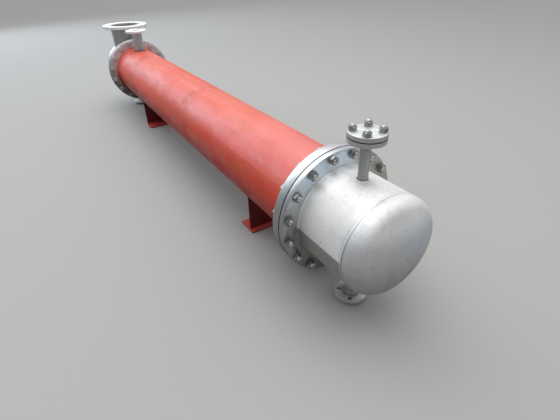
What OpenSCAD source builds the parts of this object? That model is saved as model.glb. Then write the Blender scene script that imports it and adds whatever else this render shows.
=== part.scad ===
// Horizontal shell and tube heat exchanger on two saddles, with a bolted bonnet at each end.
// Millimetres. X runs along the tubes, Z is up, and the saddles stand on Z = 0.
// "Near" is the end at +X with the short bonnet, "far" is the end at -X with the large nozzle.

/* [Shell] */
// Outside diameter of the shell pipe
shell_od = 406.4; // [390:0.1:420]
// Wall of the shell pipe
shell_wall = 9.5; // [6:0.5:16]
// From the lowest line of the shell to the foot of the saddles
foot_drop = 171.8; // [168:0.1:240]
// Leg of the fillet welds between shell and tubesheets
shell_weld = 8; // [4:1:12]

/* [Tubes and tubesheets] */
// Distance between the outer faces of the two tubesheets
tube_run = 3000; // [2400:10:4000]
// Outside diameter of a tube
tube_od = 31.8; // [25:0.1:34]
// Wall of a tube
tube_wall = 2; // [1.2:0.1:3]
// Metal left between two neighbouring tube holes, and the play in both
tube_spacing = 8.2; // [6:0.1:12]
// Least distance from the outermost tubes to the shell
bundle_margin = 12; // [6:1:20]
// How far each tube stands out of its tubesheet
tube_end = 2; // [1:0.5:3]
// Clearance around a tube in its hole, on each side
tube_gap = 0.2; // [0.1:0.05:0.4]
// Thickness of a tubesheet
tubesheet_t = 42; // [30:1:60]

/* [Body flanges] */
// How far the tubesheets and bonnet flanges stand out from the shell
body_flange_rim = 66.8; // [62:0.1:80]
// From the edge of a body flange to the circle of its bolts
body_bolt_edge = 22.5; // [20:0.5:24]
// Number of body bolts
body_bolts = 16; // [12:4:20]
// Hole for a body bolt
body_bolt_hole = 25; // [20:1:27]
// Thickness of a bonnet flange
bonnet_flange_t = 24; // [18:1:36]
// Thickness of every gasket
gasket_t = 3; // [1.5:0.5:5]
// Space between the body gasket and the bolt holes
gasket_inset = 3; // [1:1:8]

/* [Bonnets] */
// Outside diameter of the bonnet barrels and heads
bonnet_od = 398; // [386:0.5:404]
// Wall of the bonnet barrels and heads
bonnet_wall = 6; // [4:0.5:10]
// From the near gasket to the weld between barrel and head
near_barrel_run = 275; // [255:1:320]
// From the far gasket to the weld between barrel and head
far_barrel_run = 373; // [360:1:420]
// Distance of the barrel's end behind the face of its flange
barrel_setback = 7; // [4:1:10]
// Outside crown radius of a head
crown_radius = 380; // [340:5:420]
// Outside knuckle radius of a head
knuckle_radius = 55; // [40:1:70]
// Straight length of a head before its knuckle
head_straight = 22; // [10:1:40]
// Leg of the fillet welds between barrels and bonnet flanges
bonnet_weld = 4; // [3:1:8]

/* [Small bonnet nozzles] */
// Outside diameter of the vent and drain pipes
small_pipe_od = 38.1; // [32:0.1:44]
// Wall of the vent and drain pipes
small_pipe_wall = 3; // [2:0.5:4]
// How far their flanges stand out from the pipe
small_flange_rim = 49.5; // [46:0.1:56]
// Thickness of their flanges
small_flange_t = 16; // [12:1:20]
// From the edge of their flanges to the circle of their four bolts
small_bolt_edge = 18.55; // [16:0.05:20]
// Hole for one of their bolts
small_bolt_hole = 19; // [15:1:20]
// From the bonnet barrel to the faces of the vent and drain flanges
small_stand = 161; // [120:0.5:165]
// Thickness of the blind flange on the vent
blind_t = 16; // [12:1:20]
// From the near gasket to the vent and drain
near_nozzle_run = 138; // [110:1:180]
// Leg of the fillet welds on nozzle flanges
nozzle_weld = 5; // [3:1:7]

/* [Large nozzle] */
// Outside diameter of the large pipe
large_pipe_od = 267.4; // [250:0.1:280]
// Wall of the large pipe
large_pipe_wall = 6.5; // [5:0.5:9]
// How far the large flange stands out from its pipe
large_flange_rim = 66.3; // [62:0.1:70]
// Thickness of the large flange
large_flange_t = 24; // [18:1:30]
// From the edge of the large flange to the circle of its bolts
large_bolt_edge = 22.5; // [20:0.5:26]
// Number of bolt holes in the large flange
large_bolts = 12; // [8:4:16]
// Hole for one of the large flange's bolts
large_bolt_hole = 25; // [19:1:27]
// From the bonnet barrel to the face of the large flange
large_stand = 181; // [140:0.5:220]
// From the far gasket to the large nozzle and the far drain
large_nozzle_run = 197; // [185:1:210]

/* [Shell nozzles] */
// Outside diameter of the shell side pipes
side_pipe_od = 76.3; // [70:0.1:80]
// Wall of the shell side pipes
side_pipe_wall = 5; // [3:0.5:6]
// How far their flanges stand out from the pipe
side_flange_rim = 49.35; // [46:0.05:56]
// Thickness of their flanges
side_flange_t = 18; // [14:1:22]
// From the edge of their flanges to the circle of their four bolts
side_bolt_edge = 17.5; // [15:0.5:20]
// Hole for one of their bolts
side_bolt_hole = 19; // [15:1:21]
// From the shell to the face of the inlet's flange
inlet_stand = 166.8; // [130:0.1:200]
// From the shell to the face of the outlet's flange
outlet_stand = 141.8; // [120:0.1:165]
// From the outer face of the far tubesheet to the shell inlet
inlet_run = 190; // [160:1:260]
// From the outer face of the near tubesheet to the shell outlet
outlet_run = 160; // [150:1:260]

/* [Saddles] */
// Length of a base plate across the exchanger
base_y = 280; // [260:1:320]
// Width of a base plate along the exchanger
base_x = 125; // [110:1:160]
// Thickness of a base plate
base_t = 12; // [8:1:20]
// From the outer face of a tubesheet to the outer edge of the nearer base plate
base_run = 490; // [420:1:600]
// Length of a web plate across the exchanger
web_y = 276; // [240:1:280]
// Thickness of a web plate
web_t = 12; // [8:1:16]
// From the outer edge of a base plate to its web plate
web_inset = 20; // [12:1:28]
// Thickness of a rib
rib_t = 10; // [6:1:14]
// From a web plate to the far edge of its rib
rib_x = 80; // [50:1:84]
// Distance between the two anchor holes in a base plate
anchor_spacing = 200; // [160:1:220]
// Hole for an anchor bolt
anchor_hole = 22; // [16:1:26]
// Clearance of the saddles and nozzle pipes on the curved wall that they sit on
seat_gap = 0.2; // [0.1:0.05:0.4]

/* [Hidden] */

// Facets of large turned pieces, and of tubes and bolt holes
$fn = 144;
small_fn = 40;
// Overshoot of a cutting tool beyond the face that it cuts
cut = 1;

shell_r = shell_od / 2;
bonnet_r = bonnet_od / 2;
axis_height = shell_r + foot_drop;

tube_pitch = tube_od + tube_spacing;
// Rings of tubes around the middle one, as many as the shell takes
tube_rings = floor((shell_r - shell_wall - bundle_margin - tube_od / 2) / tube_pitch);

body_flange_od = shell_od + 2 * body_flange_rim;
body_bolt_circle = body_flange_od - 2 * body_bolt_edge;
small_flange_od = small_pipe_od + 2 * small_flange_rim;
small_bolt_circle = small_flange_od - 2 * small_bolt_edge;
large_flange_od = large_pipe_od + 2 * large_flange_rim;
large_bolt_circle = large_flange_od - 2 * large_bolt_edge;
side_flange_od = side_pipe_od + 2 * side_flange_rim;
side_bolt_circle = side_flange_od - 2 * side_bolt_edge;

// Faces of the nozzle flanges, from the exchanger's axis
small_face = bonnet_r + small_stand;
large_face = bonnet_r + large_stand;
inlet_face = shell_r + inlet_stand;
outlet_face = shell_r + outlet_stand;

// Crown centre below the start of the knuckle, on the outside of a head
crown_drop = sqrt(pow(crown_radius - knuckle_radius, 2) - pow(bonnet_r - knuckle_radius, 2));
head_depth = crown_radius - crown_drop;

// Stations along X. The whole length is centred on X = 0, and the far bonnet is the longer one.
middle_x = (far_barrel_run - near_barrel_run) / 2;
near_face = middle_x + tube_run / 2;
far_face = middle_x - tube_run / 2;
near_gasket_x = near_face + gasket_t;
far_gasket_x = far_face - gasket_t;
near_nozzle_x = near_gasket_x + near_nozzle_run;
large_nozzle_x = far_gasket_x - large_nozzle_run;
inlet_x = far_face + inlet_run;
outlet_x = near_face - outlet_run;
// Distance of a saddle from the middle of the tubes to the outer edge of its base
base_edge = tube_run / 2 - base_run;

stainless = [0.72, 0.72, 0.70];
machined = [0.80, 0.81, 0.82];
red_oxide = [0.72, 0.27, 0.20];
black = [0.08, 0.08, 0.08];

// Places children on the exchanger's axis at station x, with their Z along +X or, with way -1, -X
module on_axis(x, way = 1) {
    translate([x, 0, axis_height]) rotate([0, 90 * way, 0]) children();
}

// Places children on the axis at station x, with their Z upwards or, with way -1, downwards
module standing(x, way = 1) {
    translate([x, 0, axis_height]) rotate([way > 0 ? 0 : 180, 0, 0]) children();
}

// Holes on a circle, with the first pair straddling the X direction
module hole_circle(circle_d, count, hole_d, t) {
    for (i = [0 : count - 1])
        rotate([0, 0, (i + 0.5) * 360 / count])
            translate([circle_d / 2, 0, -cut])
                cylinder(d = hole_d, h = t + 2 * cut, $fn = small_fn);
}

// Plate flange from z = 0 to t
module plate_flange(od, bore, t, circle_d, count, hole_d) {
    difference() {
        cylinder(d = od, h = t);
        if (bore > 0) translate([0, 0, -cut]) cylinder(d = bore, h = t + 2 * cut);
        hole_circle(circle_d, count, hole_d, t);
    }
}

// Pipe from z = 0 to length
module pipe(od, wall, length) {
    difference() {
        cylinder(d = od, h = length);
        translate([0, 0, -cut]) cylinder(d = od - 2 * wall, h = length + 2 * cut);
    }
}

// Fillet weld round a pipe, standing on z = 0
module fillet(od, leg) {
    difference() {
        cylinder(d1 = od + 2 * leg, d2 = od, h = leg);
        translate([0, 0, -cut]) cylinder(d = od - cut, h = leg + 2 * cut);
    }
}

// Half outline of a dished head with its straight part, wall taken off on every side
module dish_outline(wall) {
    r = bonnet_r - wall;
    knuckle = knuckle_radius - wall;
    centre_r = bonnet_r - knuckle_radius;
    lean = asin(centre_r / (crown_radius - knuckle_radius));
    reach = 2 * knuckle_radius;
    translate([0, -head_straight]) square([r, head_straight]);
    intersection() {
        translate([0, -crown_drop]) circle(r = crown_radius - wall, $fn = 360);
        polygon([[0, 0], [centre_r, 0], [centre_r + reach * sin(lean), reach * cos(lean)], [0, 2 * head_depth]]);
    }
    intersection() {
        translate([centre_r, 0]) circle(r = knuckle, $fn = 180);
        translate([centre_r, 0]) square([knuckle_radius, knuckle_radius]);
    }
}

// Dished head of even wall, with its weld edge at z = 0 and its crown at the top
module head() {
    translate([0, 0, head_straight]) rotate_extrude() difference() {
        dish_outline(0);
        dish_outline(bonnet_wall);
        translate([0, -head_straight - cut]) square([bonnet_r - bonnet_wall, cut]);
    }
}

// Barrel of a bonnet: z = 0 is the face of its flange, and bores lists [station, diameter, way]
module barrel(run, bores) {
    difference() {
        union() {
            translate([0, 0, barrel_setback]) pipe(bonnet_od, bonnet_wall, run - gasket_t - barrel_setback);
            translate([0, 0, bonnet_flange_t]) fillet(bonnet_od, bonnet_weld);
        }
        for (b = bores)
            translate([0, 0, b[0]]) rotate([0, b[2] * 90, 0]) cylinder(d = b[1], h = bonnet_od);
    }
}

// Nozzle pipe from the curved wall of a body to its flange's face, with the weld behind the flange
module nozzle_pipe(body_od, od, wall, face, flange_t) {
    difference() {
        union() {
            cylinder(d = od, h = face - nozzle_weld);
            translate([0, 0, face - flange_t]) mirror([0, 0, 1]) fillet(od, nozzle_weld);
        }
        translate([0, 0, -cut]) cylinder(d = od - 2 * wall, h = face + 2 * cut);
        rotate([0, 90, 0]) cylinder(d = body_od + 2 * seat_gap, h = 2 * od, center = true);
    }
}

// Flange slipped over a nozzle pipe, from the axis up to its face
module nozzle_flange(pipe_od, od, t, face, circle_d, count, hole_d) {
    translate([0, 0, face - t]) plate_flange(od, pipe_od + 2 * seat_gap, t, circle_d, count, hole_d);
}

// Places of the tubes, in rings of six, twelve and so on around the middle one
tube_places = [
    for (q = [-tube_rings : tube_rings])
        for (r = [max(-tube_rings, -q - tube_rings) : min(tube_rings, tube_rings - q)])
            [tube_pitch * r * sqrt(3) / 2, tube_pitch * (q + r / 2)]
];

module tubesheet() {
    difference() {
        plate_flange(body_flange_od, 0, tubesheet_t, body_bolt_circle, body_bolts, body_bolt_hole);
        for (p = tube_places)
            translate([p[0], p[1], -cut])
                cylinder(d = tube_od + 2 * tube_gap, h = tubesheet_t + 2 * cut, $fn = small_fn);
    }
}

module body_gasket() {
    pipe(body_bolt_circle - body_bolt_hole - 2 * gasket_inset,
         (body_bolt_circle - body_bolt_hole) / 2 - gasket_inset - bonnet_r + bonnet_wall, gasket_t);
}

module bonnet_flange() {
    plate_flange(body_flange_od, bonnet_od + 2 * seat_gap, bonnet_flange_t,
                 body_bolt_circle, body_bolts, body_bolt_hole);
}

module shell() {
    run = tube_run - 2 * tubesheet_t;
    color(red_oxide) difference() {
        on_axis(far_face + tubesheet_t) union() {
            pipe(shell_od, shell_wall, run);
            fillet(shell_od, shell_weld);
            translate([0, 0, run]) mirror([0, 0, 1]) fillet(shell_od, shell_weld);
        }
        standing(inlet_x) cylinder(d = side_pipe_od - 2 * side_pipe_wall, h = shell_od);
        standing(outlet_x, -1) cylinder(d = side_pipe_od - 2 * side_pipe_wall, h = shell_od);
    }
}

module tube_bundle() {
    color(machined) on_axis(far_face - tube_end)
        for (p = tube_places)
            translate([p[0], p[1], 0]) pipe(tube_od, tube_wall, tube_run + 2 * tube_end, $fn = small_fn);
}

module near_tubesheet() { color(machined) on_axis(near_face - tubesheet_t) tubesheet(); }
module far_tubesheet() { color(machined) on_axis(far_face + tubesheet_t, -1) tubesheet(); }

module near_gasket() { color(black) on_axis(near_face) body_gasket(); }
module far_gasket() { color(black) on_axis(far_face, -1) body_gasket(); }

module near_bonnet_flange() { color(machined) on_axis(near_gasket_x) bonnet_flange(); }
module far_bonnet_flange() { color(machined) on_axis(far_gasket_x, -1) bonnet_flange(); }

module near_bonnet_barrel() {
    bore = small_pipe_od - 2 * small_pipe_wall;
    color(stainless) on_axis(near_gasket_x)
        barrel(near_barrel_run, [[near_nozzle_run, bore, 1], [near_nozzle_run, bore, -1]]);
}

// Turned end for end, the large nozzle still points up
module far_bonnet_barrel() {
    color(stainless) on_axis(far_gasket_x, -1)
        barrel(far_barrel_run, [
            [large_nozzle_run, large_pipe_od - 2 * large_pipe_wall, 1],
            [large_nozzle_run, small_pipe_od - 2 * small_pipe_wall, -1]
        ]);
}

module near_bonnet_head() { color(stainless) on_axis(near_face + near_barrel_run) head(); }
module far_bonnet_head() { color(stainless) on_axis(far_face - far_barrel_run, -1) head(); }

module small_nozzle_pipe() {
    nozzle_pipe(bonnet_od, small_pipe_od, small_pipe_wall, small_face, small_flange_t);
}
module small_nozzle_flange() {
    nozzle_flange(small_pipe_od, small_flange_od, small_flange_t, small_face,
                  small_bolt_circle, 4, small_bolt_hole);
}

module vent_pipe() { color(stainless) standing(near_nozzle_x) small_nozzle_pipe(); }
module vent_flange() { color(machined) standing(near_nozzle_x) small_nozzle_flange(); }
module vent_gasket() {
    ring_od = small_bolt_circle - small_bolt_hole - gasket_inset;
    color(black) standing(near_nozzle_x) translate([0, 0, small_face])
        pipe(ring_od, (ring_od - small_pipe_od) / 2, gasket_t);
}
module vent_blind_flange() {
    color(machined) standing(near_nozzle_x) translate([0, 0, small_face + gasket_t])
        plate_flange(small_flange_od, 0, blind_t, small_bolt_circle, 4, small_bolt_hole);
}

module near_drain_pipe() { color(stainless) standing(near_nozzle_x, -1) small_nozzle_pipe(); }
module near_drain_flange() { color(machined) standing(near_nozzle_x, -1) small_nozzle_flange(); }
module far_drain_pipe() { color(stainless) standing(large_nozzle_x, -1) small_nozzle_pipe(); }
module far_drain_flange() { color(machined) standing(large_nozzle_x, -1) small_nozzle_flange(); }

module large_nozzle_pipe() {
    color(stainless) standing(large_nozzle_x)
        nozzle_pipe(bonnet_od, large_pipe_od, large_pipe_wall, large_face, large_flange_t);
}
module large_nozzle_flange() {
    color(machined) standing(large_nozzle_x)
        nozzle_flange(large_pipe_od, large_flange_od, large_flange_t, large_face,
                      large_bolt_circle, large_bolts, large_bolt_hole);
}

module side_nozzle_pipe(face) { nozzle_pipe(shell_od, side_pipe_od, side_pipe_wall, face, side_flange_t); }
module side_nozzle_flange(face) {
    nozzle_flange(side_pipe_od, side_flange_od, side_flange_t, face, side_bolt_circle, 4, side_bolt_hole);
}

module shell_inlet_pipe() { color(stainless) standing(inlet_x) side_nozzle_pipe(inlet_face); }
module shell_inlet_flange() { color(machined) standing(inlet_x) side_nozzle_flange(inlet_face); }
module shell_outlet_pipe() { color(stainless) standing(outlet_x, -1) side_nozzle_pipe(outlet_face); }
module shell_outlet_flange() { color(machined) standing(outlet_x, -1) side_nozzle_flange(outlet_face); }

// Room that the shell takes above a saddle
module shell_room(length) {
    translate([0, 0, axis_height]) rotate([0, 90, 0])
        cylinder(d = shell_od + 2 * seat_gap, h = length, center = true);
}

// Places a saddle, whose outer edge is at x = 0 and whose inner edge lies towards -X
module at_saddle(way) {
    translate([middle_x + way * base_edge, 0, 0]) mirror([way > 0 ? 0 : 1, 0, 0]) children();
}

module saddle_base() {
    web_back = web_inset + web_t;
    difference() {
        translate([-base_x, -base_y / 2, 0]) cube([base_x, base_y, base_t]);
        for (side = [-1, 1])
            translate([-(web_back + base_x) / 2, side * anchor_spacing / 2, -cut])
                cylinder(d = anchor_hole, h = base_t + 2 * cut, $fn = small_fn);
    }
}

module saddle_web() {
    difference() {
        translate([-web_inset - web_t, -web_y / 2, base_t]) cube([web_t, web_y, axis_height - shell_r / 2]);
        shell_room(2 * base_x);
        translate([-base_x, -web_y, axis_height - shell_r / 2]) cube([base_x, 2 * web_y, shell_od]);
    }
}

module saddle_rib() {
    difference() {
        translate([-web_inset - web_t - rib_x, -rib_t / 2, base_t])
            cube([rib_x, rib_t, axis_height - shell_r / 2]);
        shell_room(4 * base_x);
    }
}

module near_saddle_base() { color(red_oxide) at_saddle(1) saddle_base(); }
module near_saddle_web() { color(red_oxide) at_saddle(1) saddle_web(); }
module near_saddle_rib() { color(red_oxide) at_saddle(1) saddle_rib(); }
module far_saddle_base() { color(red_oxide) at_saddle(-1) saddle_base(); }
module far_saddle_web() { color(red_oxide) at_saddle(-1) saddle_web(); }
module far_saddle_rib() { color(red_oxide) at_saddle(-1) saddle_rib(); }

shell();
tube_bundle();
near_tubesheet();
near_gasket();
near_bonnet_flange();
near_bonnet_barrel();
near_bonnet_head();
far_tubesheet();
far_gasket();
far_bonnet_flange();
far_bonnet_barrel();
far_bonnet_head();
vent_pipe();
vent_flange();
vent_gasket();
vent_blind_flange();
near_drain_pipe();
near_drain_flange();
far_drain_pipe();
far_drain_flange();
large_nozzle_pipe();
large_nozzle_flange();
shell_inlet_pipe();
shell_inlet_flange();
shell_outlet_pipe();
shell_outlet_flange();
near_saddle_base();
near_saddle_web();
near_saddle_rib();
far_saddle_base();
far_saddle_web();
far_saddle_rib();
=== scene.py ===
"""A shell and tube heat exchanger: a primed shell on two saddles, with a bolted stainless bonnet at each end.

Metres. X runs along the tubes towards the short bonnet, Z is up, and the saddles stand on Z = 0.
"""

import math
import random

import bpy
from mathutils import Matrix, Vector


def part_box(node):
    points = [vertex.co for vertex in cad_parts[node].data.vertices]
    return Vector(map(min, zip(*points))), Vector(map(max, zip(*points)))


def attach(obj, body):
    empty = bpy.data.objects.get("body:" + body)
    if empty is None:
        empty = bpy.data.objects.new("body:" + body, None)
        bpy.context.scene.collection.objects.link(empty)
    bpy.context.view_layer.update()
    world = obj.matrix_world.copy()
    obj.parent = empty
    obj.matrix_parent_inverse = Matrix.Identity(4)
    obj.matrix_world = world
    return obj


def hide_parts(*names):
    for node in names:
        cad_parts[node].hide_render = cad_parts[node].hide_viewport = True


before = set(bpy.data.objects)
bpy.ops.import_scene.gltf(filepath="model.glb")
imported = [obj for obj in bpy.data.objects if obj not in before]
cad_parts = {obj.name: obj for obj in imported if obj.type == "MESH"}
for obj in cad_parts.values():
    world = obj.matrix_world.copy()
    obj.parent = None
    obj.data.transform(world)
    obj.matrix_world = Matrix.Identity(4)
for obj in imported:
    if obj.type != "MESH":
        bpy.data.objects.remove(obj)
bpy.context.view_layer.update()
bpy.ops.object.select_all(action="DESELECT")

TURN = 2 * math.pi


# Places of the main pieces, read from the frame

def low(node):
    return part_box(node)[0]


def high(node):
    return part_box(node)[1]


def middle(node):
    return (low(node) + high(node)) / 2


AXIS = middle("near_tubesheet").z
BONNET_R = high("near_bonnet_head").y
BODY_RIM_R = high("near_tubesheet").y
VENT_X = middle("vent_flange").x
LARGE_X = middle("large_nozzle_flange").x
INLET_X = middle("shell_inlet_flange").x
OUTLET_X = middle("shell_outlet_flange").x
SMALL_PIPE_R = high("vent_pipe").y
SIDE_PIPE_R = high("shell_inlet_pipe").y
LARGE_PIPE_R = high("large_nozzle_pipe").y

# Sizes that the frame's boxes don't give
SHELL_R = 0.2032
SHELL_WELD_LEG = 0.008
BONNET_WELD_LEG = 0.004
NOZZLE_WELD_LEG = 0.005
BODY_BOLT_R = 0.2475
BODY_BOLTS = 16
VENT_BOLT_R = 0.050
VENT_BOLTS = 4
M22 = {"flats": 0.032, "nut": 0.018, "head": 0.014, "shank": 0.011, "stand_out": 0.010, "pitch": 0.0025}
M16 = {"flats": 0.027, "nut": 0.016, "head": 0.010, "shank": 0.008, "stand_out": 0.007, "pitch": 0.0020}

# Seams: round the shell at a place along X, and lengthwise at degrees off the top towards -Y
GIRTH_SEAMS = {"shell_seam_middle": 0.335, "shell_seam_far": -0.85}
SHELL_SEAM_ANGLE = 61.5
PLATE_SEAM_ANGLE = 91.0


class End:
    """One end of the exchanger. way is 1 at the short bonnet and -1 at the other."""

    def __init__(self, name, way):
        self.name = name
        self.way = way
        outer, inner = (high, low) if way > 0 else (low, high)
        self.sheet_back = inner(name + "_tubesheet").x
        self.flange_front = outer(name + "_bonnet_flange").x
        self.seam = outer(name + "_bonnet_barrel").x


NEAR = End("near", 1)
FAR = End("far", -1)


class Nozzle:
    """A flanged pipe that stands on a barrel or on the shell. way is 1 above it and -1 below it."""

    def __init__(self, name, x, radius, way):
        self.name = name
        self.x = x
        self.radius = radius
        self.way = way
        self.flange_back = (low if way > 0 else high)(name + "_flange").z
        self.on_shell = name.startswith("shell")
        self.body_r = SHELL_R if self.on_shell else BONNET_R


NOZZLES = [
    Nozzle("vent", VENT_X, SMALL_PIPE_R, 1),
    Nozzle("near_drain", VENT_X, SMALL_PIPE_R, -1),
    Nozzle("large_nozzle", LARGE_X, LARGE_PIPE_R, 1),
    Nozzle("far_drain", LARGE_X, SMALL_PIPE_R, -1),
    Nozzle("shell_inlet", INLET_X, SIDE_PIPE_R, 1),
    Nozzle("shell_outlet", OUTLET_X, SIDE_PIPE_R, -1),
]


# Tools for modelling

def chosen():
    return bpy.context.view_layer.objects.active


def select_only(obj):
    bpy.ops.object.select_all(action="DESELECT")
    obj.select_set(True)
    bpy.context.view_layer.objects.active = obj


def shown(data, name="piece"):
    """A new object for a mesh, curve, lamp or camera, in the scene."""
    obj = bpy.data.objects.new(name, data)
    bpy.context.scene.collection.objects.link(obj)
    return obj


def smooth(obj, degrees=35):
    select_only(obj)
    bpy.ops.object.shade_smooth_by_angle(angle=math.radians(degrees))


def modified(obj, kind, **settings):
    """Adds a modifier, sets it and applies it."""
    select_only(obj)
    modifier = obj.modifiers.new(kind.lower(), kind)
    for name, value in settings.items():
        setattr(modifier, name, value)
    bpy.ops.object.modifier_apply(modifier=modifier.name)


def join(pieces, name):
    bpy.ops.object.select_all(action="DESELECT")
    for piece in pieces:
        piece.select_set(True)
    bpy.context.view_layer.objects.active = pieces[0]
    if len(pieces) > 1:
        bpy.ops.object.join()
    made = chosen()
    made.name = name
    return made


def tidy_mesh(obj, merge=0.00001):
    """Merges doubles, closes open rims and turns the faces outwards."""
    select_only(obj)
    bpy.ops.object.mode_set(mode="EDIT")
    bpy.ops.mesh.select_all(action="SELECT")
    bpy.ops.mesh.remove_doubles(threshold=merge)
    bpy.ops.mesh.fill_holes(sides=0)
    bpy.ops.mesh.normals_make_consistent(inside=False)
    bpy.ops.object.mode_set(mode="OBJECT")


def turned(profile, sides):
    """Turns a profile of (radius, height) points round Z, from its first rim on. A radius of 0 closes it."""
    (radius, height), rest = profile[0], profile[1:]
    bpy.ops.mesh.primitive_circle_add(vertices=sides, radius=radius, location=(0, 0, height))
    made = chosen()
    bpy.ops.object.transform_apply(location=True)
    bpy.ops.object.mode_set(mode="EDIT")
    for next_radius, next_height in rest:
        bpy.ops.mesh.extrude_region_move(TRANSFORM_OT_translate={"value": (0, 0, next_height - height)})
        if next_radius == 0:
            bpy.ops.mesh.merge(type="CENTER")
            break
        share = next_radius / radius
        if abs(share - 1) > 1e-9:
            bpy.ops.transform.resize(value=(share, share, 1), center_override=(0, 0, next_height))
        radius, height = next_radius, next_height
    bpy.ops.object.mode_set(mode="OBJECT")
    return made


def finish_piece(obj, name, material):
    obj.name = name
    obj.data.name = name
    obj.data.materials.clear()
    obj.data.materials.append(material)
    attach(obj, "root")
    return obj


# Finishes. A coat is a strength and a colour.

class Wire:
    """An output socket that takes part in arithmetic: an expression on it adds its Math nodes."""

    def __init__(self, nodes, socket):
        self.nodes = nodes
        self.socket = socket

    def math(self, operation, *values):
        return self.nodes.node("ShaderNodeMath", {"operation": operation}, dict(enumerate((self,) + values)))

    def __add__(self, other):
        return self.math("ADD", other)

    def __sub__(self, other):
        return self.math("SUBTRACT", other)

    def __rsub__(self, other):
        return self.nodes.number(other).math("SUBTRACT", self)

    def __mul__(self, other):
        return self.math("MULTIPLY", other)

    def __truediv__(self, other):
        return self.math("DIVIDE", other)

    def __pow__(self, other):
        return self.math("POWER", other)

    __radd__ = __add__
    __rmul__ = __mul__

    def size(self):
        return self.math("ABSOLUTE")

    def above(self, other):
        return self.math("GREATER_THAN", other)

    def at_least(self, other):
        return self.math("MAXIMUM", other)

    def at_most(self, other):
        return self.math("MINIMUM", other)

    def between(self, start, end):
        """0 below start, 1 above end, and smooth between them."""
        return self.nodes.node("ShaderNodeMapRange", {"interpolation_type": "SMOOTHSTEP"},
                               {"Value": self, "From Min": start, "From Max": end})

    def fading(self, start, end):
        """1 below start, 0 above end, and smooth between them."""
        return 1 - self.between(start, end)


class Nodes:
    """A node tree that is written as expressions."""

    def __init__(self, tree, coordinates):
        self.tree = tree
        self.place = self.node("ShaderNodeTexCoord", output=coordinates)
        self.x, self.y, self.z = (self.node("ShaderNodeSeparateXYZ", None, {0: self.place}, letter)
                                  for letter in "XYZ")

    def node(self, kind, settings=None, inputs=None, output=0):
        made = self.tree.nodes.new(kind)
        for key, value in (settings or {}).items():
            setattr(made, key, value)
        for key, value in (inputs or {}).items():
            self.feed(made.inputs[key], value)
        return Wire(self, made.outputs[output])

    def feed(self, socket, value):
        if isinstance(value, Wire):
            self.tree.links.new(value.socket, socket)
        else:
            socket.default_value = value

    def number(self, value):
        return self.node("ShaderNodeMath", {"operation": "ADD"}, {0: value, 1: 0.0})

    def blend(self, share, first, second):
        """Mixes two colours."""
        made = self.tree.nodes.new("ShaderNodeMix")
        made.data_type = "RGBA"
        self.feed(made.inputs["Factor"], share)
        for name, value in (("A", first), ("B", second)):
            socket = next(s for s in made.inputs if s.name == name and s.type == "RGBA")
            self.feed(socket, (*value, 1) if isinstance(value, tuple) else value)
        return Wire(self, next(s for s in made.outputs if s.type == "RGBA"))

    def tent(self, distance, reach):
        """1 at a distance of 0, falling straight to 0 at the reach on both sides."""
        return 1 - (distance.size() / reach).at_most(1.0)


class Finish(Nodes):
    """A material with a Principled shader. Its patterns lie on the object's own coordinates.

    The colour starts as a blend of two, and coats are laid over it one after the other.
    """

    def __init__(self, name, **settings):
        self.material = bpy.data.materials.new(name)
        self.material.use_nodes = True
        super().__init__(self.material.node_tree, "Object")
        self.shader = self.tree.nodes["Principled BSDF"]
        for socket, value in settings.items():
            self.shader.inputs[socket.replace("_", " ")].default_value = value
        self.up = self.z - AXIS
        self.colour = None

    def begin(self, share, first, second):
        self.colour = self.blend(share, first, second)

    def lay(self, where, coat):
        """Lays a coat over the colour, at its full strength where the mask is 1."""
        strength, colour = coat
        self.colour = self.blend(where * strength, self.colour, colour)

    def done(self):
        self.feed(self.shader.inputs["Base Color"], self.colour)
        return self.material

    def metallic(self, value):
        self.feed(self.shader.inputs["Metallic"], value)

    def roughness(self, value):
        self.feed(self.shader.inputs["Roughness"], value)

    def bump(self, *layers):
        """Raises the surface by each layer's depth in metres where its height is 1."""
        normal = None
        for height, depth in layers:
            inputs = {"Height": height, "Distance": depth}
            if normal:
                inputs["Normal"] = normal
            normal = self.node("ShaderNodeBump", None, inputs, output="Normal")
        self.feed(self.shader.inputs["Normal"], normal)

    def noise(self, scale, detail=3, rough=0.5, at=None):
        return self.node("ShaderNodeTexNoise", None,
                         {"Vector": at or self.place, "Scale": scale, "Detail": detail, "Roughness": rough})

    def lines(self, along, scale, detail):
        """Fine uneven lines across the direction in which a distance grows."""
        return self.node("ShaderNodeTexNoise", {"noise_dimensions": "1D"},
                         {"W": along, "Scale": scale, "Detail": detail})

    def specks(self, scale, radius):
        """1 inside small scattered dots whose radius is a share of their spacing."""
        reach = self.node("ShaderNodeTexVoronoi", None, {"Vector": self.place, "Scale": scale},
                          output="Distance")
        return reach.fading(radius * 0.5, radius)

    def stretched(self, x, y, z):
        return self.node("ShaderNodeMapping", None, {"Vector": self.place, "Scale": (x, y, z)})

    def distance_to(self, spot, scale):
        """Distance to a spot, along X, Y and Z by the scale."""
        place = self.stretched(*scale)
        spot = [at * by for at, by in zip(spot, scale)]
        return self.node("ShaderNodeVectorMath", {"operation": "DISTANCE"}, {0: place, 1: spot}, "Value")

    def from_body_axis(self):
        return (self.y * self.y + self.up * self.up) ** 0.5

    def from_upright(self, x):
        """Distance to the upright line at a place along X."""
        along = self.x - x
        return (self.y * self.y + along * along) ** 0.5

    def off_top(self):
        """Degrees from the top of the round body towards -Y."""
        return (0 - self.y).math("ARCTAN2", self.up) * (180 / math.pi)


# Red primer

SHELL_RED = {"base": (0.67, 0.060, 0.026), "deep": (0.61, 0.046, 0.020), "dusty": (0.68, 0.15, 0.10)}
SADDLE_RED = {"base": (0.55, 0.050, 0.050), "deep": (0.45, 0.036, 0.036), "dusty": (0.58, 0.13, 0.12)}
RUBBED = (0.28, (0.22, 0.085, 0.06))
CHIPPED = (0.5, (0.10, 0.03, 0.02))


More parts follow.
